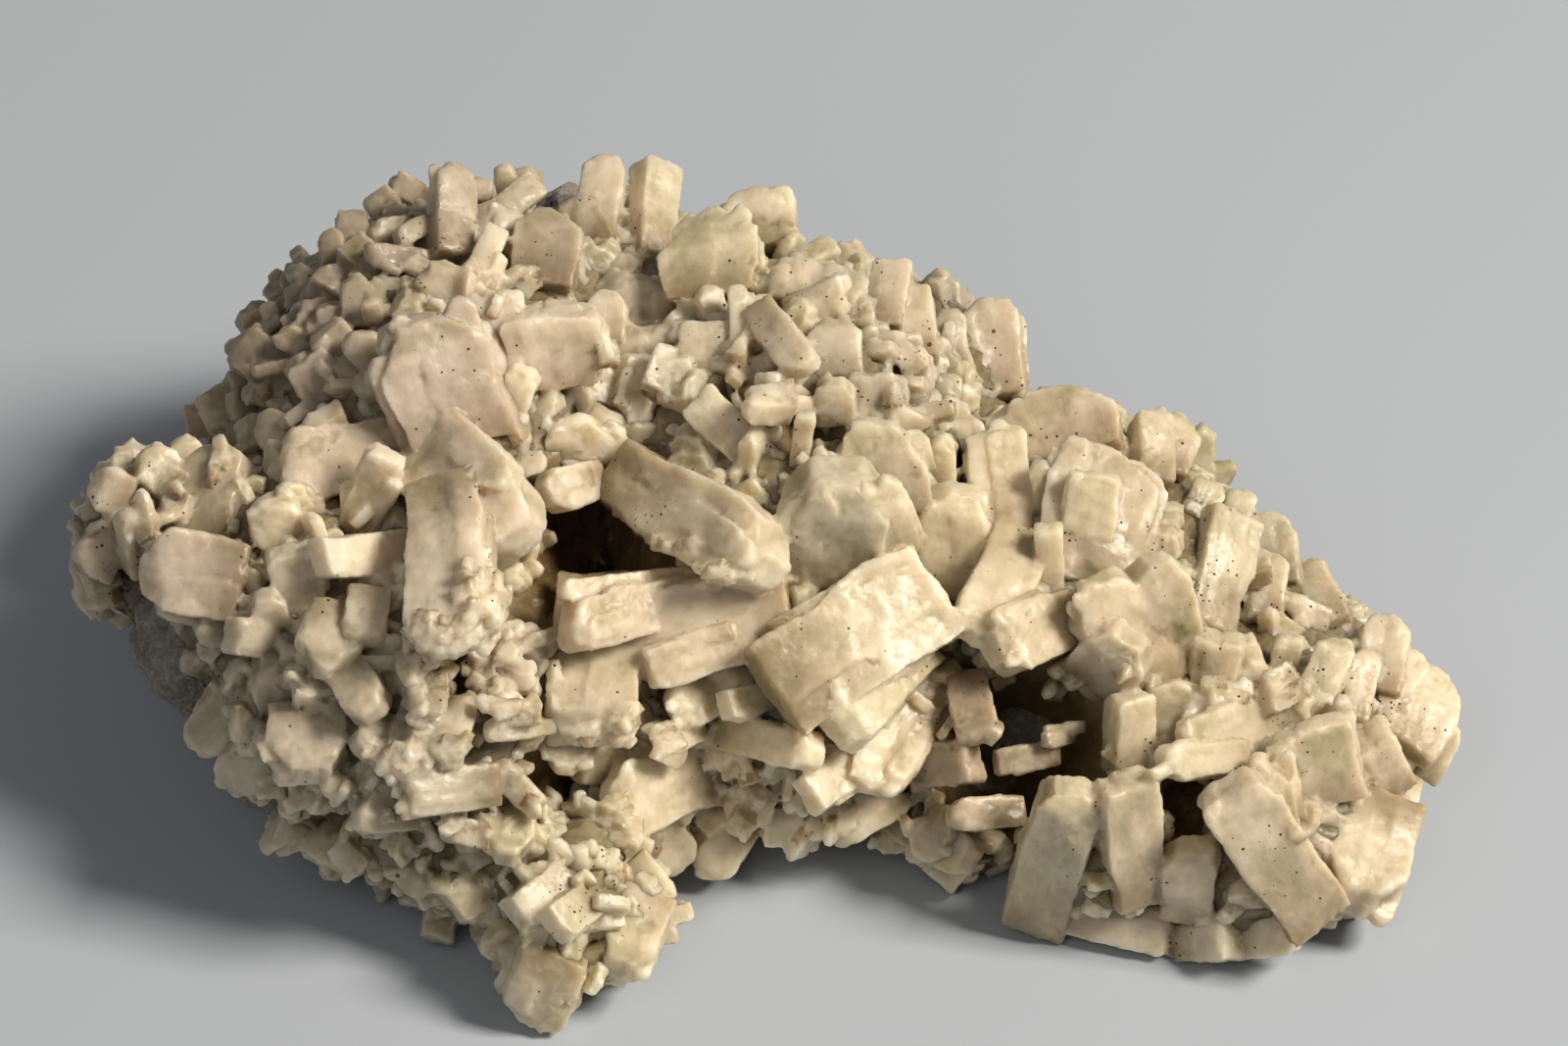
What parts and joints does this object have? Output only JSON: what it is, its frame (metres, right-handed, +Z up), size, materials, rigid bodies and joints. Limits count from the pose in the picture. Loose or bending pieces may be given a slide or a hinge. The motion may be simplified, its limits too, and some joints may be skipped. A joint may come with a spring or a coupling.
{
  "type": "stilbite cluster on matrix",
  "caption": "Loose mineral specimen: whitish tabular stilbite crystals grown into each other over grey-brown rock, with a flat rest underneath.",
  "frame": {"origin": "middle of the bounding box, on the flat rest under the cluster", "axes": "+X to the right along the length, +Y to the back, +Z up; the crystal-covered front leans back and faces -Y and up"},
  "size_m": [0.1438, 0.1004, 0.0532],
  "materials": {
    "crystal": "vitreous to pearly, milky",
    "rock": "rough, matt"
  },
  "bodies": {
    "root": {"stilbite_crystals": "crystal", "matrix": "rock"}
  },
  "joints": []
}
